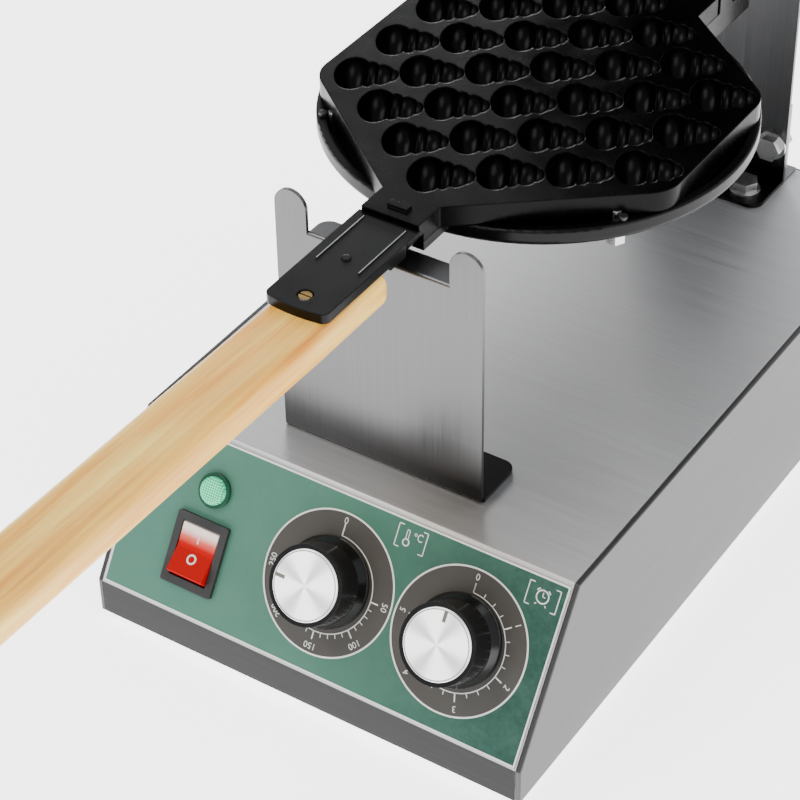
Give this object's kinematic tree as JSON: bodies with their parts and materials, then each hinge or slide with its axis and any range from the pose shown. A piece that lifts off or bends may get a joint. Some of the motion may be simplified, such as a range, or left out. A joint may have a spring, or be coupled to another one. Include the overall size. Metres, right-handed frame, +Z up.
{
  "type": "bubble waffle maker",
  "caption": "Bubble waffle maker: hexagonal two-half iron with gourd-shaped cells and wooden handles, turning on brackets above a sheet-metal base with dials.",
  "frame": {"origin": "centre of the bounding box in plan, on the table under the four feet", "axes": "+Z up, +X to the right of a user facing the dials, +Y from the dials to the back"},
  "size_m": [0.25, 0.6794, 0.8267],
  "materials": {
    "stainless": "brushed sheet",
    "steel_fastener": "bright",
    "black_casting": "black non-stick coating, satin",
    "wood": "clear varnished pine",
    "brass": "plain",
    "element_steel": "oxidised",
    "rubber": "matt",
    "black_plastic": "gloss",
    "grey_plastic": "matt",
    "white_plastic": "matt",
    "green_fascia": "satin printed film",
    "green_bezel": "gloss",
    "green_lens": "translucent, lit",
    "red_plastic": "gloss, lit",
    "silver_cap": "radially brushed"
  },
  "bodies": {
    "base": {"base_shell": "stainless", "side_panel_left": "stainless", "side_panel_right": "stainless", "rear_panel": "stainless", "bottom_plate": "stainless", "rubber_feet": "rubber", "feet_screws": "steel_fastener", "panel_screws": "steel_fastener", "cable_gland": "black_plastic", "terminal_block": "white_plastic", "panel_label": "green_fascia", "switch_housing": "black_plastic", "lamp_bezel": "green_bezel", "lamp_lens": "green_lens", "thermostat": "grey_plastic", "timer_unit": "grey_plastic", "dial_nuts": "steel_fastener", "front_bracket": "stainless", "front_bracket_bolts": "steel_fastener", "rear_bracket": "stainless", "rear_stiffener": "stainless", "rear_bracket_bolts": "steel_fastener", "rear_bracket_nuts": "steel_fastener", "stiffener_screws": "steel_fastener", "bearing_bush": "brass"},
    "iron": {"lower_mould": "black_casting", "lower_dish": "black_casting", "lower_dish_bolts": "steel_fastener", "lower_mould_screws": "steel_fastener", "lower_element": "element_steel", "lower_handle": "wood", "lower_handle_screw": "brass", "hinge_pin": "steel_fastener", "pivot_shaft": "steel_fastener", "shaft_washer": "steel_fastener", "shaft_nut": "steel_fastener"},
    "lid": {"upper_mould": "black_casting", "upper_dish": "black_casting", "upper_dish_bolts": "steel_fastener", "upper_mould_screws": "steel_fastener", "upper_element": "element_steel", "upper_handle": "wood", "upper_handle_screw": "brass"},
    "rocker": {"rocker": "red_plastic"},
    "temperature_knob": {"temp_skirt": "black_plastic", "temp_cap": "silver_cap", "temp_shaft": "steel_fastener"},
    "timer_knob": {"timer_skirt": "black_plastic", "timer_cap": "silver_cap", "timer_shaft": "steel_fastener"}
  },
  "joints": [
    {"name": "iron_turn", "type": "hinge", "parent": "base", "child": "iron", "pos_m": [0, 0.11553, 0.2458], "axis": [0, 1, 0], "range_deg": [-90, 90]},
    {"name": "lid_hinge", "type": "hinge", "parent": "iron", "child": "lid", "pos_m": [0, 0.24633, 0.2458], "axis": [1, 0, 0], "range_deg": [0, 97]},
    {"name": "rocker_press", "type": "hinge", "parent": "base", "child": "rocker", "pos_m": [-0.0737, -0.08324, 0.05378], "axis": [1, 0, 0], "range_deg": [0, 20]},
    {"name": "temperature_turn", "type": "hinge", "parent": "base", "child": "temperature_knob", "pos_m": [0.0009, -0.07681, 0.06664], "axis": [0, -0.8428, 0.5382], "range_deg": [0, 270]},
    {"name": "timer_turn", "type": "hinge", "parent": "base", "child": "timer_knob", "pos_m": [0.0753, -0.07692, 0.06647], "axis": [0, -0.8428, 0.5382], "range_deg": [-276, 0]}
  ]
}
